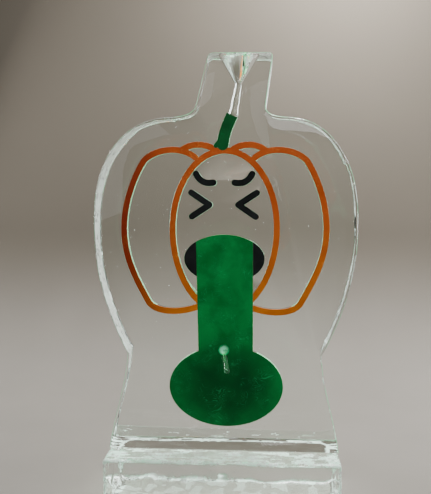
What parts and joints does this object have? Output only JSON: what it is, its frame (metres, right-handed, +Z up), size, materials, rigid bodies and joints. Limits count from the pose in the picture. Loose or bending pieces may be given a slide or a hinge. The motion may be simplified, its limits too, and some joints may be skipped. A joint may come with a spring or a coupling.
{
  "type": "ice luge sculpture",
  "caption": "Clear ice luge on an ice block: a bottle-shaped slab with a funnel, a drink channel and a short spout tube, inlaid with a pumpkin picture.",
  "frame": {"origin": "middle of the base block's underside, on the surface that the sculpture stands on", "axes": "+Z up, along the sculpture's height; +X to the viewer's right; -Y out of the inlaid front face, towards the viewer"},
  "size_m": [0.508, 0.254, 0.8663],
  "materials": {
    "clear_ice": "clear ice, polished and slightly melted, frosty at its edges",
    "orange_fill": "frozen coloured fill, flush with the ice",
    "green_fill": "frozen coloured fill with swirling tool marks, flush with the ice",
    "stem_fill": "frozen coloured fill, flush with the ice",
    "black_fill": "frozen coloured fill, flush with the ice",
    "clear_tube": "clear soft tube, gloss"
  },
  "bodies": {
    "root": {"carved_slab": "clear_ice", "base_block": "clear_ice", "pumpkin_outline": "orange_fill", "stem_inlay": "stem_fill", "left_brow": "black_fill", "right_brow": "black_fill", "left_eye": "black_fill", "right_eye": "black_fill", "left_mouth": "black_fill", "right_mouth": "black_fill", "stream_and_puddle": "green_fill", "spout_tube": "clear_tube"}
  },
  "joints": []
}
